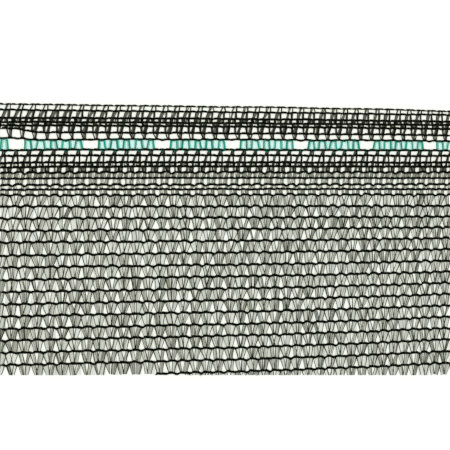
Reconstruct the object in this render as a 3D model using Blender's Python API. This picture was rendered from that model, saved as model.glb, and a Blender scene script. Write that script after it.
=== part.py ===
"""Shade cloth: a cut length of raschel-knitted shade netting with its reinforced selvedge.

The cloth lies flat on z = 0. X runs along the selvedge and along the chain wales, +Y points from
the body of the net to the selvedge edge, and the origin is under the middle of the piece.
The four pieces are strips of one machine-made cloth, set 0.3 mm apart.
"""

import math

import bmesh
import bpy

# Driving dimensions, in metres
STITCH = 0.00623
STITCHES = 40
WIDTH = STITCH * STITCHES
DEPTH = 0.1487
CUT_RISE = 0.0072

EDGE_MARGIN = 0.0005
STRIP_MARGIN = 0.00075
STRIP_GAP = 0.0003

RIB_HEIGHT = 0.0015
RIB_FOOT = 0.0012
RIB_TOP = 0.0007
BAND_HEIGHT = 0.0011
FILM_HEIGHT = 0.0005
NET_HEIGHT = 0.0009

# Distance of each chain wale below the wale above it, in millimetres, from the selvedge edge down
WALE_GAPS = {
    "outer_band": (0.0, 3.0, 3.7, 2.3, 1.6, 3.5),
    "eyelet_row": (3.3, 5.65),
    "inner_band": (3.0, 3.6, 2.2, 3.2, 3.1, 3.5, 2.5, 3.1),
    "ground_net": (6.0, 6.3, 6.0, 6.35, 6.3, 6.65, 6.05, 6.65, 6.25, 6.4, 6.55, 6.3, 6.4, 6.55, 6.5),
}

# The cells between the laps of the bands: the upper wale's number in the strip, the share of a
# stitch that the cell takes at its top and at its bottom, and the shift of its middle in stitches
OUTER_CELLS = ((0, 0.66, 0.50, 0.0), (1, 0.56, 0.56, 0.0), (4, 0.56, 0.60, 0.1))
INNER_CELLS = ((0, 0.50, 0.56, 0.0), (3, 0.40, 0.40, 0.3), (5, 0.44, 0.52, 0.2))
OPEN_ROW_CELL = (0.72, 0.52)

EYELETS = 7
EYELET_REPEAT = 6
EYELET_WIDTH = 0.00815
EYELET_SHIFT = -0.0005
EYELET_INSET = 0.0005
TEAL_LEGS = 10
TEAL_LEG_WIDTH = 0.0011

NET_COLUMNS = 19
NET_PITCH = 2 * STITCH
NET_GAP_TOP = 0.0010
NET_GAP_FOOT = 0.0086
NET_GAP_MARGIN = 0.0008

CELL_CLEARANCE = 0.00015
CUTTER_OVERSHOOT = 0.001
WELD = 0.00001

TOP_Y = DEPTH / 2
MM = 0.001

COLOURS = {
    "outer_band": (0.020, 0.022, 0.016),
    "eyelet_row": (0.020, 0.300, 0.230),
    "inner_band": (0.026, 0.028, 0.020),
    "ground_net": (0.180, 0.190, 0.140),
}


def clear_scene():
    """Remove whatever objects the scene holds."""
    for existing in list(bpy.data.objects):
        bpy.data.objects.remove(existing, do_unlink=True)


def new_collection(name):
    """Add a collection under the scene's own."""
    collection = bpy.data.collections.new(name)
    bpy.context.scene.collection.children.link(collection)
    return collection


def plastic(name, colour):
    """Make the drawn polyethylene finish of a strip."""
    material = bpy.data.materials.new(name)
    material.use_nodes = True
    shader = material.node_tree.nodes["Principled BSDF"]
    shader.inputs["Base Color"].default_value = (*colour, 1.0)
    shader.inputs["Roughness"].default_value = 0.45
    shader.inputs["Metallic"].default_value = 0.0
    return material


def wale_lines():
    """Give the y of every chain wale, strip by strip, from the gaps between them."""
    y = TOP_Y - EDGE_MARGIN
    lines = {}
    for strip, gaps in WALE_GAPS.items():
        lines[strip] = []
        for gap in gaps:
            y -= gap * MM
            lines[strip].append(y)
    return lines


def strip_edges(lines):
    """Give each strip's upper and lower y: it ends just below its last wale, a gap above the next."""
    edges = {}
    upper = TOP_Y
    for strip, wales in lines.items():
        lower = wales[-1] - STRIP_MARGIN
        edges[strip] = (upper, lower)
        upper = lower - STRIP_GAP
    edges["ground_net"] = (edges["ground_net"][0], -TOP_Y - CUTTER_OVERSHOOT)
    return edges


def cut_y(x):
    """Give the y of the straight scissor cut at the bottom, which rises to the left."""
    return -TOP_Y + CUT_RISE * (0.5 - x / WIDTH)


def mesh_from_curve(curve, collection):
    """Turn a curve object into a welded mesh object with its place in its mesh."""
    bpy.context.view_layer.update()
    evaluated = curve.evaluated_get(bpy.context.evaluated_depsgraph_get())
    mesh = bpy.data.meshes.new_from_object(evaluated)
    mesh.transform(curve.matrix_world)
    weld(mesh)
    name = curve.name
    bpy.data.objects.remove(curve, do_unlink=True)
    made = bpy.data.objects.new(name, mesh)
    collection.objects.link(made)
    return made


def weld(mesh):
    """Join the loose caps of an extruded outline to its walls."""
    work = bmesh.new()
    work.from_mesh(mesh)
    bmesh.ops.remove_doubles(work, verts=work.verts, dist=WELD)
    bmesh.ops.recalc_face_normals(work, faces=work.faces)
    work.to_mesh(mesh)
    work.free()


def outline_object(name, outlines, half_depth, location, rotation, collection):
    """Extrude closed flat outlines to both sides of their plane, as one mesh object."""
    data = bpy.data.curves.new(name, "CURVE")
    data.dimensions = "2D"
    data.fill_mode = "BOTH"
    data.extrude = half_depth
    for outline in outlines:
        spline = data.splines.new("POLY")
        spline.points.add(len(outline) - 1)
        for point, (u, v) in zip(spline.points, outline):
            point.co = (u, v, 0.0, 1.0)
        spline.use_cyclic_u = True
    curve = bpy.data.objects.new(name, data)
    curve.location = location
    curve.rotation_euler = rotation
    collection.objects.link(curve)
    return mesh_from_curve(curve, collection)


def ribbed_section(upper, lower, wales, web_height):
    """Give the strip's section across the wales: a flat base, a web and a rib at each wale."""
    section = [(lower, 0.0), (upper, 0.0)]
    first_rib_at_edge = wales[0] + RIB_FOOT / 2 > upper
    section.append((upper, RIB_HEIGHT if first_rib_at_edge else web_height))
    for wale in wales:
        if wale + RIB_FOOT / 2 < upper:
            section.append((wale + RIB_FOOT / 2, web_height))
            section.append((wale + RIB_TOP / 2, RIB_HEIGHT))
        section.append((wale - RIB_TOP / 2, RIB_HEIGHT))
        section.append((wale - RIB_FOOT / 2, web_height))
    section.append((lower, web_height))
    return section


def ribbed_strip(name, edges, wales, web_height, collection):
    """Run the ribbed section along X as one solid strip."""
    section = ribbed_section(*edges, wales, web_height)
    turn = (math.pi / 2, 0.0, math.pi / 2)
    strip = outline_object(name, [section], WIDTH / 2, (0.0, 0.0, 0.0), turn, collection)
    strip.data.materials.append(plastic(name, COLOURS[name]))
    return strip


def tapered_cell(middle, top_y, foot_y, top_width, foot_width):
    """Give the outline of a cell between two wales, with a width for each end."""
    return [
        (middle - foot_width / 2, foot_y),
        (middle + foot_width / 2, foot_y),
        (middle + top_width / 2, top_y),
        (middle - top_width / 2, top_y),
    ]


def between_wales(upper_wale, lower_wale):
    """Give the clear span between two ribs."""
    inset = RIB_FOOT / 2 + CELL_CLEARANCE
    return upper_wale - inset, lower_wale + inset


def band_cells(wales, cells):
    """Give one cell a stitch along each open row of a band."""
    outlines = []
    for number, top_share, foot_share, shift in cells:
        top_y, foot_y = between_wales(wales[number], wales[number + 1])
        for stitch in range(STITCHES - 1):
            middle = (stitch + 1 - STITCHES / 2 + shift) * STITCH
            outlines.append(tapered_cell(middle, top_y, foot_y, top_share * STITCH, foot_share * STITCH))
    return outlines


def cut_out(strip, name, outlines, low, high, collection):
    """Cut upright cells out of a strip, from height low to height high."""
    place = (0.0, 0.0, (low + high) / 2)
    cutter = outline_object(name, outlines, (high - low) / 2, place, (0.0, 0.0, 0.0), collection)
    cutter.display_type = "WIRE"
    cutter.hide_render = True
    cut = strip.modifiers.new(name, "BOOLEAN")
    cut.operation = "DIFFERENCE"
    cut.object = cutter


def add_band(name, edges, wales, cells, parts, cutters):
    """Make a reinforced band: ribs at its wales and a sunk cell between its laps."""
    band = ribbed_strip(name, edges, wales, BAND_HEIGHT, parts)
    top = RIB_HEIGHT + CUTTER_OVERSHOOT
    cut_out(band, name + "_cells", band_cells(wales, cells), FILM_HEIGHT, top, cutters)


def eyelet_middles():
    """Give the x of each eyelet's middle, one in every six stitches."""
    first = -(EYELETS - 1) / 2
    return [(first + number) * EYELET_REPEAT * STITCH + EYELET_SHIFT for number in range(EYELETS)]


def teal_cells(top_y, foot_y):
    """Give the sunk cells between the upright teal legs of each group between two eyelets."""
    outlines = []
    group = EYELET_REPEAT * STITCH - EYELET_WIDTH - TEAL_LEG_WIDTH
    pitch = group / (TEAL_LEGS - 1)
    wide = pitch - TEAL_LEG_WIDTH + 0.4 * MM
    narrow = pitch - TEAL_LEG_WIDTH - 0.4 * MM
    for middle in eyelet_middles()[:-1]:
        start = middle + (EYELET_WIDTH + TEAL_LEG_WIDTH) / 2
        for leg in range(TEAL_LEGS - 1):
            top_width, foot_width = (wide, narrow) if leg % 2 else (narrow, wide)
            outlines.append(tapered_cell(start + (leg + 0.5) * pitch, top_y, foot_y, top_width, foot_width))
    return outlines


def add_eyelet_row(edges, wales, wale_above, parts, cutters):
    """Make the open row: a film with legs over it, and the empty eyelets cut right through."""
    name = "eyelet_row"
    row = ribbed_strip(name, edges, wales, BAND_HEIGHT, parts)
    top = RIB_HEIGHT + CUTTER_OVERSHOOT
    legs_top = wale_above - STRIP_MARGIN - STRIP_GAP - RIB_FOOT / 2
    legs_foot = wales[0] + RIB_FOOT / 2 + CELL_CLEARANCE
    cells = []
    for stitch in range(STITCHES - 1):
        middle = (stitch + 1 - STITCHES / 2) * STITCH
        cells.append(tapered_cell(middle, legs_top, legs_foot, *(share * STITCH for share in OPEN_ROW_CELL)))
    top_y, foot_y = between_wales(*wales)
    cells += teal_cells(top_y, foot_y)
    cut_out(row, name + "_cells", cells, FILM_HEIGHT, top, cutters)
    hole_top = wales[0] - EYELET_INSET
    hole_foot = wales[1] + EYELET_INSET
    holes = [tapered_cell(x, hole_top, hole_foot, EYELET_WIDTH, EYELET_WIDTH) for x in eyelet_middles()]
    cut_out(row, name + "_eyelets", holes, -CUTTER_OVERSHOOT, top, cutters)


def net_gaps(upper, wales, wale_above):
    """Give the clear gaps of the net: one between the legs of every second stitch of each row."""
    outlines = []
    inset = RIB_FOOT / 2 + CELL_CLEARANCE
    above = [wale_above] + wales[:-1]
    for row, (high_wale, low_wale) in enumerate(zip(above, wales)):
        top_y = min(high_wale - inset, upper - NET_GAP_MARGIN)
        for column in range(NET_COLUMNS):
            middle = (column - (NET_COLUMNS - 1) / 2) * NET_PITCH
            left_end = middle - NET_GAP_FOOT / 2
            foot_y = max(low_wale + inset, cut_y(left_end) + NET_GAP_MARGIN)
            outlines.append(tapered_cell(middle, top_y, foot_y, NET_GAP_TOP, NET_GAP_FOOT))
    return outlines


def scissor_cut():
    """Give the outline of all that lies below the slanting cut."""
    half = WIDTH / 2 + CUTTER_OVERSHOOT
    low = -TOP_Y - 4 * CUTTER_OVERSHOOT
    return [(-half, low), (half, low), (half, cut_y(half)), (-half, cut_y(-half))]


def add_ground_net(edges, wales, wale_above, parts, cutters):
    """Make the body of the net: ribs at its wales, a web with clear gaps, a straight cut below."""
    name = "ground_net"
    net = ribbed_strip(name, edges, wales, NET_HEIGHT, parts)
    top = RIB_HEIGHT + CUTTER_OVERSHOOT
    gaps = net_gaps(edges[0], wales, wale_above)
    cut_out(net, name + "_gaps", gaps, -CUTTER_OVERSHOOT, top, cutters)
    cut_out(net, name + "_cut", [scissor_cut()], -CUTTER_OVERSHOOT, top, cutters)


def build():
    """Build the four strips of the cloth."""
    clear_scene()
    parts = new_collection("shade_cloth")
    cutters = new_collection("cutters")
    wales = wale_lines()
    edges = strip_edges(wales)
    add_band("outer_band", edges["outer_band"], wales["outer_band"], OUTER_CELLS, parts, cutters)
    add_eyelet_row(edges["eyelet_row"], wales["eyelet_row"], wales["outer_band"][-1], parts, cutters)
    add_band("inner_band", edges["inner_band"], wales["inner_band"], INNER_CELLS, parts, cutters)
    add_ground_net(edges["ground_net"], wales["ground_net"], wales["inner_band"][-1], parts, cutters)


build()
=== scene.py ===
"""The looks of a cut length of knitted shade cloth: looped chain wales, zigzag film tape, a teal
tape round the eyelets and black laps in the two bands, all lying flat on a pale lit floor."""

import math

import bpy
import numpy as np
from bpy.props import FloatProperty, FloatVectorProperty, PointerProperty
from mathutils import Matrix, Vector


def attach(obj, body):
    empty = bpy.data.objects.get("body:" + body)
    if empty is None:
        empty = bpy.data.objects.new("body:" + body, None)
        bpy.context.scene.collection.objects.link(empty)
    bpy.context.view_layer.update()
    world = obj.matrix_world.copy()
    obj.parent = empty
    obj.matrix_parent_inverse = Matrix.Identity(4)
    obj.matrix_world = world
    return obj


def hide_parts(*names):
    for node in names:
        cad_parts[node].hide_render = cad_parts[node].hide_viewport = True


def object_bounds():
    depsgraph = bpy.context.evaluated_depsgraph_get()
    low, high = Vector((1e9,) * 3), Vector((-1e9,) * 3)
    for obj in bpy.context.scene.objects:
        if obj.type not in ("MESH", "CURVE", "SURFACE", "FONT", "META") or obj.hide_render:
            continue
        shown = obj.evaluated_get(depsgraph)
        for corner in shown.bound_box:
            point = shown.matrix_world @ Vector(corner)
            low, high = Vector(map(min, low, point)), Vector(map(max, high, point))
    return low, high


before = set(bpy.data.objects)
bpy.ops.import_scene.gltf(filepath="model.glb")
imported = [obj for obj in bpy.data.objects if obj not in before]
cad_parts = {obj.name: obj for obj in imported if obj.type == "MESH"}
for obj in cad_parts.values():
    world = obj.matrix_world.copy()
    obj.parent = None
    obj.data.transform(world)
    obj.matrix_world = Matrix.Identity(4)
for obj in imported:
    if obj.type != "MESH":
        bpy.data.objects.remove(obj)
CAD_BOX = [list(corner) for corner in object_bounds()]

bl_info = {
    "name": "Shade cloth",
    "version": (1, 0, 0),
    "blender": (4, 5, 0),
    "location": "3D View > Sidebar > Shade cloth",
    "description": "Knits a cut length of shade cloth with its selvedge and eyelets",
    "category": "Add Mesh",
}

MM = 0.001
UP = np.array((0.0, 0.0, 1.0))

# The cloth's own box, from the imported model
LEFT, RIGHT = CAD_BOX[0][0], CAD_BOX[1][0]
LOW_Y, TOP_Y = CAD_BOX[0][1], CAD_BOX[1][1]
WIDTH = RIGHT - LEFT

# Knit: a stitch is two courses of a wale and one zigzag of the tape
STITCH = 6.23 * MM
STITCHES = 40
NUMBERS = np.arange(-STITCHES // 2 - 4, STITCHES // 2 + 3)
EDGE_MARGIN = 0.5 * MM
CUT_RISE = 7.2 * MM
# How far tape stays from the cut sides, the least length of a leg that is left at the cut, and how
# many stitches past each side the chains are worked out before they are cut
SIDE_MARGIN = 0.4 * MM
SHORTEST_LEG = 0.7 * MM
OVERRUN = 1.5

# One line for each chain wale from the selvedge edge down. In millimetres: the gap from the wale
# above, how far the wale lies above its straight line at the left and at the right end, and how
# far the tape pulls it up and down. In stitches: where in a stitch it dips.
WALES = (
    (0.25, 0.40, -1.20, 0.08, 0.20),
    (2.80, 0.15, -0.50, 0.10, 0.40),
    (3.65, -0.50, -0.55, 0.10, 0.60),
    (2.25, -0.35, -0.15, 0.10, 0.40),
    (1.85, -0.20, -0.50, 0.12, 0.60),
    (3.60, -0.10, -0.30, 0.14, 0.95),
    (3.30, -1.00, -0.10, 0.18, 0.42),
    (5.50, -0.70, 0.15, 0.12, 0.50),
    (2.95, -0.75, 0.10, 0.10, 0.00),
    (3.75, -0.65, 0.10, 0.10, 0.50),
    (2.15, -0.75, 0.00, 0.10, 0.00),
    (3.15, -0.40, 0.05, 0.34, 0.26),
    (3.05, -0.40, -0.20, 0.10, 0.80),
    (3.60, -0.20, 0.10, 0.32, 0.16),
    (2.40, -0.15, -0.35, 0.12, 0.10),
    (3.10, 0.00, -0.30, 0.36, 0.08),
    (6.20, 0.45, -0.30, 0.32, 0.00),
    (6.05, 0.20, -0.15, 0.32, 0.00),
    (6.20, -0.10, 0.15, 0.32, 0.00),
    (6.25, 0.30, 0.40, 0.32, 0.00),
    (6.35, -0.40, 0.60, 0.32, 0.00),
    (6.50, 0.00, 0.70, 0.32, 0.00),
    (6.30, -0.30, 0.95, 0.32, 0.00),
    (6.55, 0.05, 1.30, 0.32, 0.00),
    (6.25, -0.20, 1.30, 0.32, 0.00),
    (6.35, -0.10, 1.25, 0.32, 0.00),
    (6.65, 0.05, 1.55, 0.32, 0.00),
    (6.20, 0.10, 1.55, 0.32, 0.00),
    (6.50, 0.20, 1.75, 0.32, 0.00),
    (6.45, 0.20, 1.50, 0.32, 0.00),
    (6.60, 0.30, 1.60, 0.32, 0.00),
)
FIRST_GROUND = 16
LAST_WALE = len(WALES) - 1

# How the courses lie: the first one's place, their lean, and how they crowd towards the right,
# more in the ground than in the bands
COURSE_START = 2.40 * MM
COURSE_LEAN = 0.0222
COURSE_TWIST = 0.000057 * MM
BAND_CROWD = 0.0053 * MM
GROUND_CROWD = 0.0090 * MM
# The height where the ground's crowding begins, and the depth over which it grows
CROWD_FROM = 30.0 * MM
CROWD_OVER = 18.0 * MM
# The stretch of the selvedge, the height where it begins, and the height over which it grows
SELVEDGE_STRETCH = 0.0135
SELVEDGE_FROM = 59.75 * MM
SELVEDGE_OVER = 14.1 * MM
# In stitches: how far the ground runs ahead of the bands, and how far it sags back at mid depth
GROUND_LEAD = 0.05
GROUND_SAG = 0.12

# How far two wales are tugged up at the left end, in millimetres by the wale's number, how far
# from the end that reaches, and over what run it grows
LEFT_TUGS = {5: 2.0, 6: 1.1}
TUG_END = 24.0 * MM
TUG_RUN = 16.0 * MM

# How uneven a wale is. Each wave has the seed of its first wale, its length and its height: of the
# tape's pull, of where the pull comes, of the wale's own line, of its loops and of its yarn
PULL_WAVE = (700, 2.6, 1.1)
TURN_WAVE = (800, 4.0, 0.8)
LINE_WAVE = (40, 45 * MM, 0.16 * MM)
LOOP_WAVE = (900, 1.7, 0.15)
YARN_WAVE = (950, 1.1, 0.12)
# How much the half-length cosine sharpens the dips
DIP_SHARPNESS = 0.28

# The height of the cloth's middle over the plane that it lies on
CLOTH_LIFT = 0.60 * MM


class ClothSizes(bpy.types.PropertyGroup):
    """Sizes of the yarn and tape that a user may change."""

    yarn_radius: FloatProperty(
        name="Yarn radius", description="Radius of the black monofilament",
        default=0.36 * MM, min=0.05 * MM, unit="LENGTH")
    chain_half_width: FloatProperty(
        name="Chain half width", description="Half the distance between the two sides of a chain loop",
        default=0.40 * MM, min=0.05 * MM, unit="LENGTH")
    chain_half_height: FloatProperty(
        name="Chain half height", description="Half the rise and fall of a chain loop",
        default=0.28 * MM, min=0.05 * MM, unit="LENGTH")
    film_thickness: FloatProperty(
        name="Film thickness", description="Thickness of the slit film tape",
        default=0.05 * MM, min=0.01 * MM, unit="LENGTH")
    film_arch: FloatProperty(
        name="Film arch", description="How far a tape bulges across its width",
        default=0.20 * MM, min=0.05 * MM, unit="LENGTH")
    roll_radius: FloatProperty(
        name="Rolled edge radius", description="Radius of the rolled edge of a tape",
        default=0.17 * MM, min=0.02 * MM, unit="LENGTH")


class ClothColours(bpy.types.PropertyGroup):
    """Colours of the yarn, the tapes and the floor."""

    black_yarn: FloatVectorProperty(
        name="Black yarn", description="Colour of the monofilament",
        default=(0.0055, 0.0070, 0.0022), size=3, subtype="COLOR", min=0.0, max=1.0)
    # Painted sheen: the paler olive that shows in patches along the black yarn, stronger on some
    # strands than others
    olive_sheen: FloatVectorProperty(
        name="Olive tint", description="Colour that shows where the black yarn is thin",
        default=(0.060, 0.066, 0.036), size=3, subtype="COLOR", min=0.0, max=1.0)
    warm_film: FloatVectorProperty(
        name="Warm film", description="Colour of the grey tape towards the left",
        default=(0.115, 0.122, 0.030), size=3, subtype="COLOR", min=0.0, max=1.0)
    cool_film: FloatVectorProperty(
        name="Cool film", description="Colour of the grey tape towards the right",
        default=(0.075, 0.125, 0.090), size=3, subtype="COLOR", min=0.0, max=1.0)
    rolled_dark: FloatVectorProperty(
        name="Dark rolled edge", description="Colour of the tape's edge where it is rolled tight",
        default=(0.014, 0.016, 0.009), size=3, subtype="COLOR", min=0.0, max=1.0)
    rolled_pale: FloatVectorProperty(
        name="Pale rolled edge", description="Colour of the tape's edge where it is rolled loosely",
        default=(0.110, 0.115, 0.076), size=3, subtype="COLOR", min=0.0, max=1.0)
    dark_film: FloatVectorProperty(
        name="Dark film", description="Colour of the olive tape in the bands",
        default=(0.030, 0.036, 0.012), size=3, subtype="COLOR", min=0.0, max=1.0)
    teal_line: FloatVectorProperty(
        name="Teal", description="Colour of the teal tape's folded edge",
        default=(0.020, 0.800, 0.460), size=3, subtype="COLOR", min=0.0, max=1.0)
    teal_film: FloatVectorProperty(
        name="Pale teal film", description="Colour of the teal tape where it lies open",
        default=(0.02, 0.90, 0.98), size=3, subtype="COLOR", min=0.0, max=1.0)
    floor: FloatVectorProperty(
        name="Floor", description="Colour of the lit floor",
        default=(0.94, 0.95, 0.90), size=3, subtype="COLOR", min=0.0, max=1.0)


def sizes():
    """The size settings."""
    return bpy.context.scene.shade_cloth_sizes


def colours():
    """The colour settings."""
    return bpy.context.scene.shade_cloth_colours


# Where the wales and courses lie

def slow_wave(place, seed, length, height):
    """A slow uneven line: three sines about one length, with seeded phases, summed."""
    draw = np.random.default_rng(seed)
    total = np.zeros_like(np.asarray(place, dtype=float))
    for _ in range(3):
        wave = length * draw.uniform(0.6, 1.6)
        phase = draw.uniform(0.0, 2 * np.pi)
        total = total + np.sin(2 * np.pi * place / wave + phase)
    return total * height / 3


def wale_wave(place, wale, wave):
    """A slow wave of a wale's own, from the seed, length and height of its kind."""
    seed, length, height = wave
    return slow_wave(place, seed + wale, length, height)


def wale_base(wale):
    """The straight line of a wale: the gaps down to it, summed from the selvedge edge."""
    return TOP_Y - EDGE_MARGIN - MM * sum(line[0] for line in WALES[:wale + 1])


def course_x(stitch, y):
    """The x of a place counted in stitches.

    The stitches are evenly spaced, less a square and a cubic crowding, and lean with y. The
    selvedge is stretched back a little, and the courses sag in the middle of the ground.
    """
    selvedge = np.clip((y - SELVEDGE_FROM) / SELVEDGE_OVER, 0.0, 1.2)
    ground = np.clip((CROWD_FROM - y) / CROWD_OVER, 0.0, 1.0)
    depth = np.clip((CROWD_FROM - y) / (CROWD_FROM - LOW_Y), 0.0, 1.0)
    slip = GROUND_LEAD * ground - GROUND_SAG * np.sin(np.pi * depth)
    place = stitch * (1.0 - SELVEDGE_STRETCH * selvedge ** 1.5) + slip
    crowd = (BAND_CROWD + (GROUND_CROWD - BAND_CROWD) * ground) * stitch ** 2
    return COURSE_START + STITCH * place - crowd - COURSE_TWIST * stitch ** 3 + COURSE_LEAN * y


def wale_y(wale, stitch):
    """The y of a wale: its straight line, its rise to each end as the square of x, a slow wave,
    the pull of the tape, a cosine of the stitch with a half-length one to sharpen the dips, and
    a smooth step up at the left end where the selvedge is tugged out of line."""
    _, left_rise, right_rise, pull, dip = WALES[wale]
    x = course_x(stitch, wale_base(wale))
    share = np.clip(x / (WIDTH / 2), -1.0, 1.0)
    rise = np.where(share < 0, left_rise, right_rise) * MM * share ** 2
    uneven = 1.0 + wale_wave(stitch, wale, PULL_WAVE)
    turn = 2 * np.pi * (stitch - dip) + wale_wave(stitch, wale, TURN_WAVE)
    tug = pull * MM * uneven * (np.cos(turn) + DIP_SHARPNESS * np.cos(2 * turn))
    near_left = np.clip((LEFT + TUG_END - x) / TUG_RUN, 0.0, 1.0)
    lift = LEFT_TUGS.get(wale, 0.0) * MM * (3.0 - 2.0 * near_left) * near_left ** 2
    return wale_base(wale) + rise + wale_wave(x, wale, LINE_WAVE) - tug + lift


def cut_y(x):
    """The y of the straight scissor cut at the bottom, which rises to the left."""
    return LOW_Y + CUT_RISE * (0.5 - x / WIDTH)


# Surfaces swept along many paths at once

def circle_profile(sides):
    """A round profile: the cosine and sine of even angles."""
    angle = 2 * np.pi * np.arange(sides) / sides
    return np.stack([np.cos(angle), np.sin(angle)], axis=1)


def arched_profile(thin_share):
    """A thin arched strip: over the width u from 1 to -1 the top is 1 - u squared, and the
    underside is the same less the film's thickness as a share of the arch."""
    u = np.array((1.0, 0.4, -0.4, -1.0, -0.4, 0.4))
    v = 1.0 - u ** 2
    v[4:] -= thin_share
    return np.stack([u, v], axis=1)


def unit(vectors):
    """The vectors at length one."""
    return vectors / np.maximum(np.linalg.norm(vectors, axis=-1, keepdims=True), 1e-12)


def sweep(path, half_width, half_height, profile, tone):
    """Carry a closed profile along each path of a batch and cap its ends.

    A ring point is path + across * half_width * u + over * half_height * v: across is level and
    square to the path, over is square to both. Returns points, quads, triangles and the tone.
    """
    strands, steps, _ = path.shape
    sides = len(profile)
    along = unit(np.gradient(path, axis=1))
    across = unit(np.cross(along, UP))
    over = np.cross(across, along)
    half_width = np.broadcast_to(half_width, (strands, steps))[..., None, None]
    half_height = np.broadcast_to(half_height, (strands, steps))[..., None, None]
    ring = (path[:, :, None, :]
            + across[:, :, None, :] * half_width * profile[:, 0, None]
            + over[:, :, None, :] * half_height * profile[:, 1, None])
    centres = ring[:, (0, -1)].mean(axis=2)
    points = np.concatenate([ring.reshape(-1, 3), centres.reshape(-1, 3)])

    index = np.arange(strands * steps * sides).reshape(strands, steps, sides)
    turned = np.roll(index, -1, axis=2)
    quads = np.stack([index[:, :-1], index[:, 1:], turned[:, 1:], turned[:, :-1]], axis=-1)
    centre = index.size + np.arange(strands * 2).reshape(strands, 2, 1)
    centre = np.broadcast_to(centre, (strands, 2, sides))
    start = np.stack([centre[:, 0], index[:, 0], turned[:, 0]], axis=-1)
    end = np.stack([centre[:, 1], turned[:, -1], index[:, -1]], axis=-1)
    triangles = np.concatenate([start.reshape(-1, 3), end.reshape(-1, 3)])
    tone = np.broadcast_to(np.asarray(tone, dtype=float), (strands,))
    tones = np.concatenate([np.repeat(tone, steps * sides), np.repeat(tone, 2)])
    return points, quads.reshape(-1, 4), triangles, tones


def knit_piece(name, batches, material, nodes):
    """Join swept batches into one mesh object that rides on the cloth and stands for CAD nodes."""
    points, quads, triangles, tones = [], [], [], []
    offset = 0
    for batch_points, batch_quads, batch_triangles, batch_tones in batches:
        points.append(batch_points)
        quads.append(batch_quads + offset)
        triangles.append(batch_triangles + offset)
        tones.append(batch_tones)
        offset += len(batch_points)
    points, tones = np.concatenate(points), np.concatenate(tones)
    quads, triangles = np.concatenate(quads), np.concatenate(triangles)
    corners = np.concatenate([quads.ravel(), triangles.ravel()])
    lengths = np.concatenate([np.full(len(quads), 4), np.full(len(triangles), 3)])
    starts = np.concatenate([[0], np.cumsum(lengths)[:-1]])

    mesh = bpy.data.meshes.new(name)
    mesh.vertices.add(len(points))
    mesh.vertices.foreach_set("co", points.astype(np.float32).ravel())
    mesh.loops.add(len(corners))
    mesh.loops.foreach_set("vertex_index", corners.astype(np.int32))
    mesh.polygons.add(len(lengths))
    mesh.polygons.foreach_set("loop_start", starts.astype(np.int32))
    mesh.polygons.foreach_set("loop_total", lengths.astype(np.int32))
    mesh.polygons.foreach_set("use_smooth", np.ones(len(lengths), dtype=bool))
    tone_layer = mesh.attributes.new("tone", "FLOAT", "POINT")
    tone_layer.data.foreach_set("value", tones.astype(np.float32))
    mesh.update(calc_edges=True)
    mesh.validate()
    mesh.materials.append(material)

    piece = bpy.data.objects.new(name, mesh)
    bpy.context.scene.collection.objects.link(piece)
    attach(piece, "root")
    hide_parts(*nodes)
    return piece


# Finishes

def new_material(name):
    """A material with an empty tree but for its Principled shader."""
    material = bpy.data.materials.new(name)
    material.use_nodes = True
    return material, material.node_tree.nodes, material.node_tree.links


def mixed_colour(nodes, links, factor, low, high):
    """A colour mixed from low to high, each a colour or a socket, by a factor socket."""
    mix = nodes.new("ShaderNodeMix")
    mix.data_type = "RGBA"
    colour_inputs = [socket for socket in mix.inputs if socket.type == "RGBA"]
    for socket, colour in zip(colour_inputs, (low, high)):
        if isinstance(colour, bpy.types.NodeSocket):
            links.new(colour, socket)
        else:
            socket.default_value = (*colour, 1.0)
    links.new(factor, mix.inputs[0])
    return next(socket for socket in mix.outputs if socket.type == "RGBA")


def remapped(nodes, links, value, low, high, to_low, to_high):
    """A value taken from one range to another and held inside it."""
    node = nodes.new("ShaderNodeMapRange")
    node.inputs["From Min"].default_value = low
    node.inputs["From Max"].default_value = high
    node.inputs["To Min"].default_value = to_low
    node.inputs["To Max"].default_value = to_high
    links.new(value, node.inputs["Value"])
    return node.outputs["Result"]


def weighted_sum(nodes, links, first, weight, second):
    """first * weight + second."""
    node = nodes.new("ShaderNodeMath")
    node.operation = "MULTIPLY_ADD"
    links.new(first, node.inputs[0])
    node.inputs[1].default_value = weight
    links.new(second, node.inputs[2])
    return node.outputs[0]


def cloth_place(nodes):
    """The cloth's own coordinates."""
    return nodes.new("ShaderNodeTexCoord").outputs["Object"]


def object_noise(nodes, links, scale, detail=3.0):
    """Noise over the cloth's own coordinates."""
    noise = nodes.new("ShaderNodeTexNoise")
    noise.inputs["Scale"].default_value = scale
    noise.inputs["Detail"].default_value = detail
    links.new(cloth_place(nodes), noise.inputs["Vector"])
    return noise.outputs["Fac"]


def tone_of_strand(nodes):
    """The tone that each strand was given."""
    attribute = nodes.new("ShaderNodeAttribute")
    attribute.attribute_name = "tone"
    return attribute.outputs["Fac"]


def add_bump(nodes, links, shader, height, distance):
    """Raise the surface by a height socket."""
    bump = nodes.new("ShaderNodeBump")
    bump.inputs["Strength"].default_value = 0.5
    bump.inputs["Distance"].default_value = distance
    links.new(height, bump.inputs["Height"])
    links.new(bump.outputs["Normal"], shader.inputs["Normal"])


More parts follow.
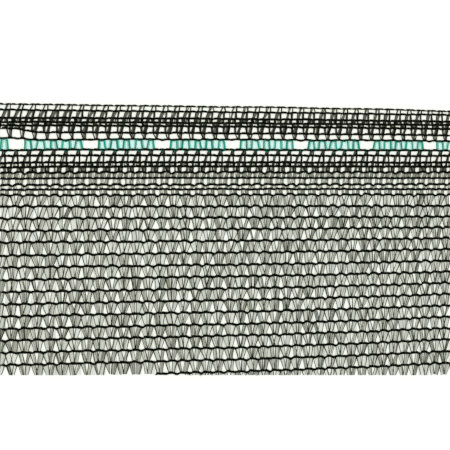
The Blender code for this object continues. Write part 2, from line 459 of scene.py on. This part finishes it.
def yarn_finish(name, deep, thin, sheen_and_pale_from):
    """Drawn monofilament: deep colour with paler patches along some strands, and a satin gloss. On the
    black yarn the paler patches are painted sheen; on the rolled film edges they are the loosely
    rolled edges.
    """
    material, nodes, links = new_material(name)
    shader = nodes["Principled BSDF"]
    # Painted sheen on the black yarn: paler patches from noise and each strand's tone
    patches = weighted_sum(nodes, links, object_noise(nodes, links, 900.0), 1.0, tone_of_strand(nodes))
    share = remapped(nodes, links, patches, sheen_and_pale_from, sheen_and_pale_from + 0.5, 0.0, 1.0)
    links.new(mixed_colour(nodes, links, share, deep, thin), shader.inputs["Base Color"])
    rough = remapped(nodes, links, object_noise(nodes, links, 2500.0), 0.3, 0.7, 0.48, 0.64)
    links.new(rough, shader.inputs["Roughness"])
    shader.inputs["Specular IOR Level"].default_value = 0.06
    add_bump(nodes, links, shader, object_noise(nodes, links, 6000.0, 2.0), 0.02 * MM)
    return material


def film_finish(name, left_colour, right_colour, alpha):
    """Slit film of one sheerness: a colour that drifts across the cloth in patches, streaks along
    it, and a tone for each strand."""
    material, nodes, links = new_material(name)
    shader = nodes["Principled BSDF"]
    parts = nodes.new("ShaderNodeSeparateXYZ")
    links.new(cloth_place(nodes), parts.inputs["Vector"])
    drift = remapped(nodes, links, parts.outputs["X"], LEFT, RIGHT, 0.0, 1.0)
    patchy = weighted_sum(nodes, links, object_noise(nodes, links, 45.0), 1.2, drift)
    share = remapped(nodes, links, patchy, 0.4, 1.4, 0.0, 1.0)
    tint = mixed_colour(nodes, links, share, left_colour, right_colour)
    streaks = object_noise(nodes, links, 1500.0)
    depth = weighted_sum(nodes, links, streaks, 0.5, tone_of_strand(nodes))
    shade = remapped(nodes, links, depth, 0.25, 1.25, 1.0, 0.0)
    deep = mixed_colour(nodes, links, shade, tuple(0.45 * value for value in left_colour), tint)
    links.new(deep, shader.inputs["Base Color"])
    shader.inputs["Alpha"].default_value = alpha
    rough = remapped(nodes, links, streaks, 0.3, 0.7, 0.35, 0.55)
    links.new(rough, shader.inputs["Roughness"])
    shader.inputs["Specular IOR Level"].default_value = 0.3
    add_bump(nodes, links, shader, streaks, 0.03 * MM)
    return material


# Chain wales

LOOP_STEPS = 13
LOOP_SIDES = 5
LOOP_PHASE = 0.63
UNDERLAP_PHASE = 2.2
LOOP_REACH = 0.375
COURSES = 2
CHAIN_SEED = 500
# Where in a stitch the outermost chain thins, over what width, and by what share
GAP_PLACE = 0.22
GAP_WIDTH = 0.10
GAP_DEPTH = 0.75
# How fine the chains of the bands are, against those of the ground, from the selvedge edge down
CHAIN_SCALE = (0.58, 0.72, 0.84, 0.74, 0.84, 0.80, 0.80, 0.88,
               0.90, 0.94, 0.94, 0.92, 0.86, 0.90, 0.84, 0.90)


def chain_batch(wale):
    """One looped chain along a wale.

    With t a full turn for each course, the place along the wale in stitches is
    s - reach * sin t, so the yarn runs forward, back and forward again over each course; the side
    is half_width * cos(t - phase) and the height is -half_height * cos(t - underlap phase).
    The outermost chain thins to a quarter once in each stitch.
    """
    size = sizes()
    draw = np.random.default_rng(CHAIN_SEED + wale)
    scale = CHAIN_SCALE[wale] if wale < FIRST_GROUND else 1.0
    half = STITCHES / 2 + OVERRUN
    steps = int(2 * half * COURSES * LOOP_STEPS) + 1
    stitch = np.linspace(-half, half, steps)
    turn = 2 * np.pi * COURSES * stitch
    loose = 1.0 + wale_wave(stitch, wale, LOOP_WAVE)
    along = stitch - LOOP_REACH * loose * np.sin(turn)
    y = wale_y(wale, along) + size.chain_half_width * scale * loose * np.cos(turn - LOOP_PHASE)
    x = course_x(along, y)
    z = CLOTH_LIFT - size.chain_half_height * np.cos(turn - UNDERLAP_PHASE)
    keep = (x > LEFT + size.yarn_radius) & (x < RIGHT - size.yarn_radius)
    if wale == LAST_WALE:
        keep &= y > cut_y(x)
    middle = steps // 2
    first = np.flatnonzero(~keep[:middle])[-1] + 1
    last = middle + np.flatnonzero(~keep[middle:])[0]
    chosen = slice(first, last)
    path = np.stack([x, y, z], axis=-1)[chosen][None]
    radius = size.yarn_radius * (0.5 + 0.5 * scale) * (1.0 + wale_wave(stitch, wale, YARN_WAVE))
    if wale == 0:
        from_gap = (along - GAP_PLACE + 0.5) % 1.0 - 0.5
        radius = radius * (1.0 - GAP_DEPTH * np.exp(-(from_gap / GAP_WIDTH) ** 2))
    radius = radius[chosen][None]
    return sweep(path, radius, radius, circle_profile(LOOP_SIDES), draw.uniform(0.0, 0.3))


class ClothChains(bpy.types.Operator):
    """Knit every chain wale of black monofilament"""

    bl_idname = "shade_cloth.chains"
    bl_label = "Chain wales"

    def execute(self, context):
        colour = colours()
        # The olive patches along the black chains are painted sheen
        black = yarn_finish("black_monofilament", colour.black_yarn, colour.olive_sheen, 1.0)
        selvedge = [chain_batch(wale) for wale in range(FIRST_GROUND)]
        ground = [chain_batch(wale) for wale in range(FIRST_GROUND, LAST_WALE + 1)]
        knit_piece("selvedge_chains", selvedge, black,
                   ("outer_band", "eyelet_row", "inner_band"))
        knit_piece("ground_chains", ground, black, ("ground_net",))
        return {"FINISHED"}


# Tape legs and laps between two wales

LEG_STEPS = 6
LEG_SHARE = np.linspace(-0.02, 1.02, LEG_STEPS)


def clear_of_sides(x):
    """The paths of a batch whose every x lies inside the cut sides."""
    return (x.min(axis=1) > LEFT + SIDE_MARGIN) & (x.max(axis=1) < RIGHT - SIDE_MARGIN)


def leg_lines(wale, top, foot, draw, jitter):
    """Where a leg runs in each stitch of the row below a wale.

    top and foot are its places in stitches, plus a drawn shift each. Returns the paths from the
    upper wale to the lower one or to the scissor cut, and a mask of the stitches that hold one.
    """
    start = NUMBERS + top + draw.normal(0.0, jitter, NUMBERS.size)
    finish = NUMBERS + foot + draw.normal(0.0, jitter, NUMBERS.size)
    bow = draw.normal(0.0, 0.35 * jitter, NUMBERS.size)[:, None] * np.sin(np.pi * LEG_SHARE)
    upper = wale_y(wale, start)
    lower = wale_y(wale + 1, finish) if wale < LAST_WALE else upper - STITCH
    reach = np.ones_like(upper)
    if wale >= LAST_WALE - 1:
        room = upper - cut_y(course_x(finish, lower))
        reach = np.clip(room / (upper - lower), 0.0, 1.0)
    share = LEG_SHARE * reach[:, None]
    stitch = start[:, None] + (finish - start)[:, None] * share + bow
    y = upper[:, None] + (lower - upper)[:, None] * share
    x = course_x(stitch, y)
    return np.stack([x, y], axis=-1), clear_of_sides(x) & ((upper - lower) * reach > SHORTEST_LEG)


def lifted(path, height):
    """A flat path set at a height above the floor."""
    height = np.broadcast_to(height, path.shape[:2])
    return np.concatenate([path, height[..., None]], axis=-1)


# The zigzag of a ground row, in stitches from the knot above: where a leg's left and right edges
# leave the upper wale and meet the lower one, and how closely its film is folded
GROUND_LEGS = (
    (0.00, 0.27, 0.36, 0.51, 0.35),
    (0.64, 0.50, 1.00, 0.74, 0.55),
)
# The pale single film that fills some of the openings between the legs: its edges as above, and
# the share of stitches that have it
GROUND_WEBS = (
    (0.34, 0.49, 0.66, 0.52, 0.40),
    (0.99, 0.72, 1.01, 1.00, 0.35),
    (0.99, 1.00, 1.01, 1.28, 0.35),
)
GROUND_SEED = 10000
# How unevenly the edges of the legs and of the webs lie, in stitches
LEG_JITTER = 0.055
WEB_JITTER = 0.05
WEB_LIFT = 0.42 * MM
# The sheerness of single, loosely folded and tightly folded film
FILM_ALPHAS = (0.11, 0.18, 0.30)
# A leg's film: how far below the cloth's middle it lies, how much that varies, and its swell
FILM_DROP = 0.12 * MM
FILM_UNEVEN = 0.06 * MM
FILM_SWELL = 0.10 * MM
# Above that film: its first fold, how much more its second, its creases and its rolled edges
FOLD_RISE = 0.06 * MM
SECOND_FOLD_RISE = 0.05 * MM
CREASE_RISE = 0.14 * MM
ROLL_RISE = 0.05 * MM
# As shares of the leg's width: where a fold's near side lies, its slant, its limit and its width
FOLD_PLACES = (0.1, 0.7)
FOLD_SLANT = 0.15
FOLD_LIMIT = 0.8
FOLD_WIDTHS = (0.2, 0.5)
# As shares of the rolled edge's radius: that of the creases and of the rolled edges, and how much
# thicker those are at the knot
CREASE_RADII = (0.35, 0.8)
ROLL_RADII = (0.6, 1.3)
KNOT_SWELL = 0.5


class ClothGroundTape(bpy.types.Operator):
    """Lay the zigzag of sheer grey tape between the ground wales"""

    bl_idname = "shade_cloth.ground_tape"
    bl_label = "Ground tape"

    def execute(self, context):
        colour = colours()
        films, rolls, creases = [[] for _ in FILM_ALPHAS], [], []
        for wale in range(FIRST_GROUND - 1, LAST_WALE + 1):
            draw = np.random.default_rng(GROUND_SEED + wale)
            for leg in range(len(GROUND_LEGS)):
                add_ground_leg(wale, leg, draw, films, rolls, creases)
            for *edges, common in GROUND_WEBS:
                left, right = ground_edges(wale, edges, draw, WEB_JITTER)
                some = draw.uniform(0.0, 1.0, len(left)) < common
                tones = draw.uniform(0.0, 0.6, len(left))
                films[0].append(film_strip(left, right, WEB_LIFT, some, tones))
        for order, alpha in enumerate(FILM_ALPHAS):
            film = film_finish(f"grey_film_{order + 1}", colour.warm_film, colour.cool_film, alpha)
            knit_piece(f"ground_film_{order + 1}", films[order], film, ("ground_net",))
        rolled = yarn_finish("rolled_film_edge", colour.rolled_dark, colour.rolled_pale, 0.8)
        knit_piece("ground_film_edges", rolls, rolled, ("ground_net",))
        knit_piece("ground_film_creases", creases, rolled, ("ground_net",))
        return {"FINISHED"}


def ground_edges(wale, edges, draw, jitter):
    """The left and right edge lines of a strip in each stitch of the row below a wale."""
    top_left, foot_left, top_right, foot_right = edges
    left, left_in = leg_lines(wale, top_left, foot_left, draw, jitter)
    right, right_in = leg_lines(wale, top_right, foot_right, draw, jitter)
    inside = left_in & right_in
    return left[inside], right[inside]


def film_strip(left, right, height, some, tones):
    """Arched film spanned between two edge lines, in the chosen stitches."""
    size = sizes()
    middle = lifted((left + right) / 2, height)[some]
    half = np.linalg.norm(right - left, axis=-1)[some] / 2
    shape = arched_profile(size.film_thickness / size.film_arch)
    return sweep(middle, half, size.film_arch, shape, tones[some])


def add_ground_leg(wale, leg, draw, films, rolls, creases):
    """One leg of the zigzag in each stitch: its film, two folds over it with a crease each, and a
    rolled edge on either side, thicker where it meets the knot. The more closely a leg is folded,
    the fewer of its films are single and the more folds show."""
    *edges, folded = GROUND_LEGS[leg]
    left, right = ground_edges(wale, edges, draw, LEG_JITTER)
    count = len(left)
    swell = FILM_SWELL * np.sin(np.pi * LEG_SHARE)
    base = CLOTH_LIFT - FILM_DROP + draw.normal(0.0, FILM_UNEVEN, count)[:, None] + swell
    kind = np.searchsorted((0.55 - 0.4 * folded, 1.20 - 0.6 * folded), draw.uniform(0.0, 1.0, count))
    tones = draw.uniform(0.0, 1.0, count)
    for order, made in enumerate(films):
        made.append(film_strip(left, right, base, kind == order, tones))

    for fold in range(2):
        place = draw.uniform(*FOLD_PLACES, (count, 1, 1))
        slant = draw.normal(0.0, FOLD_SLANT, (count, 1, 1))
        near = np.clip(place + slant * LEG_SHARE[:, None], 0.0, FOLD_LIMIT)
        far = np.minimum(near + draw.uniform(*FOLD_WIDTHS, (count, 1, 1)), 1.0)
        near_edge = left + (right - left) * near
        far_edge = left + (right - left) * far
        some = draw.uniform(0.0, 1.0, count) < 0.30 + 0.4 * folded
        height = base + (FOLD_RISE + SECOND_FOLD_RISE * fold)
        films[fold].append(film_strip(near_edge, far_edge, height, some, tones))
        radius = sizes().roll_radius * draw.uniform(*CREASE_RADII, (count, 1))[some]
        crease = lifted(near_edge, base + CREASE_RISE)[some]
        tone = draw.uniform(0.3, 1.0, count)[some]
        creases.append(sweep(crease, radius, radius, circle_profile(3), tone))

    for edge, at_knot in ((left, leg == 0), (right, leg == 1)):
        thick = 1.0 + KNOT_SWELL * (1.0 - LEG_SHARE if at_knot else LEG_SHARE)
        radius = sizes().roll_radius * thick * draw.uniform(*ROLL_RADII, (count, 1))
        tone = draw.uniform(0.0, 1.0, count)
        rolls.append(sweep(lifted(edge, base + ROLL_RISE), radius, radius, circle_profile(4), tone))


# The laps of the dense bands, one line for each lap of a stitch: the wale above, where the lap
# leaves it and where it meets the wale below in stitches, its half width in millimetres, what it
# is made of, and its tone
BAND_LAPS = (
    (0, 0.73, 0.72, 0.42, "yarn", 0.4),
    (0, 0.58, 0.36, 0.22, "yarn", 0.7),
    (0, 0.46, 0.34, 0.50, "olive", 0.7),
    (1, 0.68, 0.65, 0.52, "yarn", 0.4),
    (1, 0.62, 0.60, 0.55, "olive", 0.5),
    (1, 0.40, 0.18, 0.85, "olive", 0.5),
    (1, 0.22, 0.10, 0.26, "yarn", 0.7),
    (2, 0.62, 0.61, 0.80, "yarn", 0.4),
    (2, 0.16, 0.14, 1.15, "yarn", 0.4),
    (2, 0.42, 0.42, 0.45, "olive", 0.5),
    (3, 0.68, 0.70, 0.78, "yarn", 0.4),
    (3, 0.12, 0.14, 0.85, "yarn", 0.4),
    (3, 0.94, 0.92, 0.70, "olive", 0.6),
    (4, 0.62, 0.66, 0.56, "yarn", 0.4),
    (4, 0.68, 0.64, 0.50, "olive", 0.6),
    (4, 0.10, -0.02, 0.72, "yarn", 0.4),
    (4, 1.04, 0.84, 0.85, "olive", 0.7),
    (5, 0.66, 0.86, 0.36, "yarn", 0.3),
    (5, 1.07, 0.98, 0.36, "yarn", 0.3),
    (5, 0.90, 0.93, 0.60, "olive", 0.8),
    (7, 0.55, 0.55, 0.50, "yarn", 0.4),
    (7, 0.42, 0.26, 0.48, "yarn", 0.5),
    (7, 0.50, 0.44, 0.80, "olive", 0.7),
    (8, 0.55, 0.55, 0.56, "yarn", 0.3),
    (8, 0.17, 0.01, 0.46, "yarn", 0.5),
    (8, 0.26, 0.13, 0.55, "olive", 0.6),
    (9, 0.55, 0.55, 0.85, "yarn", 0.3),
    (9, 0.05, 0.05, 0.90, "yarn", 0.3),
    (9, 0.32, 0.30, 0.60, "grey", 0.6),
    (10, 0.56, 0.54, 0.75, "olive", 0.8),
    (10, 0.76, 0.80, 0.60, "yarn", 0.3),
    (10, 0.98, 0.96, 0.85, "olive", 0.8),
    (10, 1.06, 1.06, 0.34, "yarn", 0.4),
    (11, 0.04, -0.06, 0.95, "grey", 0.7),
    (11, 0.45, 0.42, 1.35, "grey", 0.7),
    (11, 0.30, 0.48, 0.15, "yarn", 0.8),
    (11, 0.66, 0.74, 0.14, "yarn", 0.6),
    (11, 0.88, 0.80, 0.14, "yarn", 0.6),
    (11, 0.20, 0.04, 0.15, "yarn", 0.8),
    (12, 0.44, 0.46, 0.70, "sheer", 0.6),
    (12, 0.80, 0.74, 0.80, "sheer", 0.6),
    (12, 0.97, 0.93, 0.55, "grey", 0.8),
    (12, 0.34, 0.37, 0.17, "yarn", 0.7),
    (12, 0.46, 0.60, 0.11, "yarn", 0.9),
    (12, 0.88, 0.66, 0.11, "yarn", 0.9),
    (12, 0.92, 0.86, 0.13, "yarn", 0.8),
    (13, 0.96, 0.92, 0.75, "sheer", 0.6),
    (13, 0.30, 0.34, 0.95, "sheer", 0.8),
    (13, 0.12, 0.02, 0.42, "grey", 0.4),
    (13, 0.42, 0.50, 0.12, "yarn", 0.7),
    (13, 0.22, 0.36, 0.11, "yarn", 0.9),
    (13, 0.98, 0.92, 0.14, "yarn", 0.7),
    (14, 0.34, 0.38, 0.70, "sheer", 0.7),
    (14, 0.72, 0.78, 1.10, "grey", 0.8),
    (14, 0.26, 0.29, 0.17, "yarn", 0.6),
    (14, 0.38, 0.52, 0.11, "yarn", 0.9),
    (14, 0.74, 0.58, 0.11, "yarn", 0.9),
    (14, 0.88, 0.86, 0.16, "yarn", 0.7),
)
LAP_SEED = 3000
# How unevenly the laps lie, in stitches, and how much they draw in at mid length
LAP_JITTER = 0.032
LAP_WAIST = 0.12
# How far below the cloth's middle a lap lies, and how much that varies
LAP_DROP = 0.08 * MM
LAP_UNEVEN = 0.06 * MM
# How much a lap's width and its tone vary
LAP_WIDTH_VARIES = 0.12
LAP_TONE_VARIES = 0.25


class ClothBandLaps(bpy.types.Operator):
    """Lay the black, olive and grey laps between the wales of both bands"""

    bl_idname = "shade_cloth.band_laps"
    bl_label = "Band laps"

    def execute(self, context):
        size, colour = sizes(), colours()
        finishes = {
            # The olive patches along the black laps are painted sheen
            "yarn": yarn_finish("black_laps", colour.black_yarn, colour.olive_sheen, 0.5),
            "olive": film_finish("olive_film", colour.dark_film, colour.dark_film, 0.62),
            "grey": film_finish("band_grey_film", colour.warm_film, colour.cool_film, 0.44),
            "sheer": film_finish("band_sheer_film", colour.warm_film, colour.cool_film, 0.26),
        }
        batches = {kind: [] for kind in finishes}
        waist = 1.0 - LAP_WAIST * np.sin(np.pi * LEG_SHARE)
        for order, (wale, top, foot, half, kind, tone) in enumerate(BAND_LAPS):
            draw = np.random.default_rng(LAP_SEED + order)
            path, inside = leg_lines(wale, top, foot, draw, LAP_JITTER)
            path = path[inside]
            count = len(path)
            lift = CLOTH_LIFT - LAP_DROP + draw.normal(0.0, LAP_UNEVEN, count)[:, None]
            varied = np.clip(draw.normal(1.0, LAP_WIDTH_VARIES, count), 0.5, 1.5)[:, None]
            spread = half * MM * waist * varied
            thick = min(size.yarn_radius, half * MM) if kind == "yarn" else size.film_thickness
            tones = np.clip(draw.normal(tone, LAP_TONE_VARIES, count), 0.0, 1.0)
            batches[kind].append(sweep(lifted(path, lift), spread, thick, circle_profile(6), tones))
        for kind, made in batches.items():
            knit_piece(f"band_laps_{kind}", made, finishes[kind],
                       ("outer_band", "inner_band"))
        return {"FINISHED"}


# The teal tape: the wale above it, the legs of a group, and the stitches from group to group
TEAL_WALE = 6
TEAL_LEGS = 10
TEAL_EVERY = 6
# In stitches: the first leg's place, the pitch of the legs, and how far each second one leans
TEAL_START = 0.135
TEAL_PITCH = 0.509
TEAL_LEANS = (-0.034, 0.062)
TEAL_LEG_SEED = 6000
TEAL_OPEN_SEED = 6100
TEAL_LOOP_SEED = 6300
# In millimetres: half the width of a folded leg, of the half fold beside it, of the open film
# between two legs and of that past the last leg, and how far to its side the half fold lies
TEAL_FOLD_HALVES = (0.34, 0.54)
TEAL_BESIDE_HALVES = (0.4, 0.8)
TEAL_OPEN_HALF = 1.5
TEAL_LAST_HALF = 0.5
TEAL_BESIDE = 0.5
# Half the thickness of the folded leg and of the half fold, and the arch of the open film
TEAL_FOLD_THICK = 0.10 * MM
TEAL_BESIDE_THICK = 0.05 * MM
TEAL_OPEN_ARCH = 0.12 * MM
TEAL_RUN_MARGIN = 0.3 * MM


def in_a_group(inside):
    """The stitches of a mask that begin a group of teal legs."""
    return inside & (NUMBERS % TEAL_EVERY == 0)


def teal_stitches(wale, side, first_turn):
    """The teal tape's run along a wale through each group.

    It shows beside the wale where it turns from one leg to the next, first between the leg of
    number first_turn and the one after it, and hides behind the wale between those turns: its
    shift is side * (0.20 + 0.30 * cosine) mm, the cosine one turn for each two legs.
    """
    starts = NUMBERS[NUMBERS % TEAL_EVERY == 0]
    legs = np.linspace(-0.2, TEAL_LEGS - 0.8, TEAL_LEGS * 6)
    stitch = starts[:, None] + TEAL_START + TEAL_PITCH * legs
    shown = np.cos(np.pi * (legs - first_turn - 0.5))
    y = wale_y(wale, stitch) + side * MM * (0.20 + 0.30 * shown)
    x = course_x(stitch, y)
    z = CLOTH_LIFT + 0.20 * MM * shown + np.zeros_like(x)
    path = np.stack([x, y, z], axis=-1)
    shows = (x > LEFT + TEAL_RUN_MARGIN) & (x < RIGHT - TEAL_RUN_MARGIN)
    return [path[row:row + 1, line] for row, line in enumerate(shows)]


class ClothTealTape(bpy.types.Operator):
    """Lay the teal tape in its groups of ten legs with an empty eyelet after each"""

    bl_idname = "shade_cloth.teal_tape"
    bl_label = "Teal tape"

    def execute(self, context):
        colour = colours()
        folds, films, half_films = [], [], []
        for leg in range(TEAL_LEGS):
            draw = np.random.default_rng(TEAL_LEG_SEED + leg)
            lean = TEAL_LEANS[leg % 2]
            place = TEAL_START + leg * TEAL_PITCH
            path, inside = leg_lines(TEAL_WALE, place - lean, place + lean, draw, 0.03)
            path = path[in_a_group(inside)]
            count = len(path)
            lift = CLOTH_LIFT + draw.normal(0.0, 0.05 * MM, count)[:, None]
            half = draw.uniform(*TEAL_FOLD_HALVES, (count, 1)) * MM
            tone = draw.uniform(0.0, 0.8, count)
            folds.append(sweep(lifted(path, lift), half, TEAL_FOLD_THICK, circle_profile(6), tone))
            beside = path + np.array((draw.choice((-TEAL_BESIDE, TEAL_BESIDE)) * MM, 0.0))
            half = draw.uniform(*TEAL_BESIDE_HALVES, (count, 1)) * MM
            tone = draw.uniform(0.0, 0.6, count)
            half_films.append(sweep(lifted(beside, lift - 0.1 * MM), half, TEAL_BESIDE_THICK,
                                    circle_profile(6), tone))
        shape = arched_profile(0.3)
        for leg in range(TEAL_LEGS):
            draw = np.random.default_rng(TEAL_OPEN_SEED + leg)
            last = leg == TEAL_LEGS - 1
            place = TEAL_START + leg * TEAL_PITCH + (0.10 if last else TEAL_PITCH / 2)
            path, inside = leg_lines(TEAL_WALE, place, place, draw, 0.01)
            path = path[in_a_group(inside)]
            lift = CLOTH_LIFT - 0.15 * MM + draw.normal(0.0, 0.03 * MM, len(path))[:, None]
            half = (TEAL_LAST_HALF if last else TEAL_OPEN_HALF) * MM
            films.append(sweep(lifted(path, lift), half, TEAL_OPEN_ARCH, shape, 0.1))
        runs = []
        for wale, side, first_turn in ((TEAL_WALE, -1.0, 0), (TEAL_WALE + 1, 1.0, 1)):
            for strand in teal_stitches(wale, side, first_turn):
                if strand.shape[1] > 6:
                    runs.append(sweep(strand, 0.34 * MM, 0.16 * MM, circle_profile(5), 1.0))
        line = film_finish("teal_folds", colour.teal_line, colour.teal_line, 0.90)
        half_sheer = film_finish("teal_half_folds", colour.teal_line, colour.teal_line, 0.30)
        sheer = film_finish("teal_film", colour.teal_film, colour.teal_film, 0.14)
        node = ("eyelet_row",)
        knit_piece("teal_tape", folds + runs + hanging_loops(), line, node)
        knit_piece("teal_tape_folds", half_films, half_sheer, node)
        knit_piece("teal_tape_open", films, sheer, node)
        return {"FINISHED"}


def hanging_loops():
    """Small teal loops under the lower eyelet wale, one a stitch: half an ellipse below it."""
    draw = np.random.default_rng(TEAL_LOOP_SEED)
    turn = np.linspace(0.0, np.pi, 9)
    centre = (NUMBERS + 0.50 + draw.normal(0.0, 0.02, NUMBERS.size))[:, None]
    stitch = centre - 0.14 * np.cos(turn)
    drop = draw.uniform(0.7, 1.1, (NUMBERS.size, 1)) * MM
    y = wale_y(TEAL_WALE + 1, centre) - drop * np.sin(turn)
    x = course_x(stitch, y)
    path = lifted(np.stack([x, y], axis=-1), CLOTH_LIFT + 0.1 * MM)[clear_of_sides(x)]
    return [sweep(path, 0.32 * MM, 0.14 * MM, circle_profile(5), 0.9)]


# The floor, the lights and the camera

FLOOR_SIZE = 6.0
FLOOR_DROP = 0.0001
FLOOR_GLOW = 0.57
FLOOR_GLOW_COLOUR = (1.0, 1.03, 0.80)
SURROUND = 0.31
SURROUND_COLOUR = (0.94, 0.94, 1.35)
# Each soft box: its place and side in metres, and its power in watts
SOFT_BOXES = (
    ("left_box", (-0.5, 0.3, 0.8), 0.7, 1.6),
    ("right_box", (0.6, -0.2, 0.9), 0.8, 1.5),
)
CAMERA_LENS = 72.0
CAMERA_PLACE = (-67.64 * MM, 21.99 * MM, 479.82 * MM)
CAMERA_TURN = (-1.36, -7.547, -0.216)


def add_floor():
    """A plain pale floor that glows a little, as a light table does."""
    half = FLOOR_SIZE / 2
    mesh = bpy.data.meshes.new("floor")
    mesh.from_pydata([(-half, -half, 0.0), (half, -half, 0.0), (half, half, 0.0), (-half, half, 0.0)],
                     [], [(0, 1, 2, 3)])
    material, nodes, _ = new_material("pale_floor")
    shader = nodes["Principled BSDF"]
    shader.inputs["Base Color"].default_value = (*colours().floor, 1.0)
    shader.inputs["Roughness"].default_value = 0.9
    shader.inputs["Specular IOR Level"].default_value = 0.0
    shader.inputs["Emission Color"].default_value = (*FLOOR_GLOW_COLOUR, 1.0)
    shader.inputs["Emission Strength"].default_value = FLOOR_GLOW
    mesh.materials.append(material)
    floor = bpy.data.objects.new("floor", mesh)
    floor.location.z = -FLOOR_DROP
    bpy.context.scene.collection.objects.link(floor)


def add_lights():
    """Two broad soft boxes overhead and a pale surround."""
    for name, place, side, power in SOFT_BOXES:
        data = bpy.data.lights.new(name, "AREA")
        data.size = side
        data.energy = power
        light = bpy.data.objects.new(name, data)
        light.location = place
        light.rotation_euler = (-Vector(place)).to_track_quat("-Z", "Y").to_euler()
        bpy.context.scene.collection.objects.link(light)
    world = bpy.data.worlds.new("pale_surround")
    world.use_nodes = True
    background = world.node_tree.nodes["Background"]
    background.inputs["Color"].default_value = (*SURROUND_COLOUR, 1.0)
    background.inputs["Strength"].default_value = SURROUND
    bpy.context.scene.world = world
    bpy.context.scene.view_settings.view_transform = "Standard"


def add_camera():
    """The camera over the cloth, tilted a little so that the right end lies further off."""
    data = bpy.data.cameras.new("camera")
    data.sensor_width = 36.0
    data.lens = CAMERA_LENS
    data.clip_start = 0.01
    camera = bpy.data.objects.new("camera", data)
    camera.location = CAMERA_PLACE
    camera.rotation_euler = [math.radians(angle) for angle in CAMERA_TURN]
    bpy.context.scene.collection.objects.link(camera)
    bpy.context.scene.camera = camera


class ClothStage(bpy.types.Operator):
    """Set the lit floor, the soft lights and the camera"""

    bl_idname = "shade_cloth.stage"
    bl_label = "Floor, lights and camera"

    def execute(self, context):
        add_floor()
        add_lights()
        add_camera()
        return {"FINISHED"}


OPERATORS = (ClothChains, ClothBandLaps, ClothTealTape, ClothGroundTape, ClothStage)

# The ground's single film, taken as the sheet, and the beginnings of the names of the cloth's pieces
SHEET_PIECE = "ground_film_1"
CLOTH_PIECES = ("selvedge_chains", "ground_chains", "ground_film", "band_laps", "teal_tape")


class ClothPanel(bpy.types.Panel):
    """Lists the sizes, the colours and the steps of the cloth."""

    bl_idname = "VIEW3D_PT_shade_cloth"
    bl_label = "Shade cloth"
    bl_space_type = "VIEW_3D"
    bl_region_type = "UI"
    bl_category = "Shade cloth"

    def draw(self, context):
        layout = self.layout
        for group in (context.scene.shade_cloth_sizes, context.scene.shade_cloth_colours):
            for setting in group.__annotations__:
                layout.prop(group, setting)
        for operator in OPERATORS:
            layout.operator(operator.bl_idname)


CLASSES = (ClothSizes, ClothColours, *OPERATORS, ClothPanel)


def register():
    """Register the classes and hang the settings on the scene."""
    for known in CLASSES:
        bpy.utils.register_class(known)
    bpy.types.Scene.shade_cloth_sizes = PointerProperty(type=ClothSizes)
    bpy.types.Scene.shade_cloth_colours = PointerProperty(type=ClothColours)


def unregister():
    """Take the settings and the classes away again."""
    del bpy.types.Scene.shade_cloth_colours
    del bpy.types.Scene.shade_cloth_sizes
    for known in reversed(CLASSES):
        bpy.utils.unregister_class(known)


def declare_sheet():
    """Gathers the cloth's pieces by the beginnings of their names and takes the ground's single film
    out of them as the sheet; nothing further is done with it."""
    pieces = [piece for piece in bpy.context.scene.objects if piece.type == "MESH"]
    cloth = {piece.name: piece for piece in pieces if piece.name.startswith(CLOTH_PIECES)}
    sheet = cloth.pop(SHEET_PIECE)


def main():
    """Register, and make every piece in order."""
    register()
    for operator in OPERATORS:
        area, step = operator.bl_idname.split(".")
        getattr(getattr(bpy.ops, area), step)()
    declare_sheet()


if __name__ == "__main__":
    main()
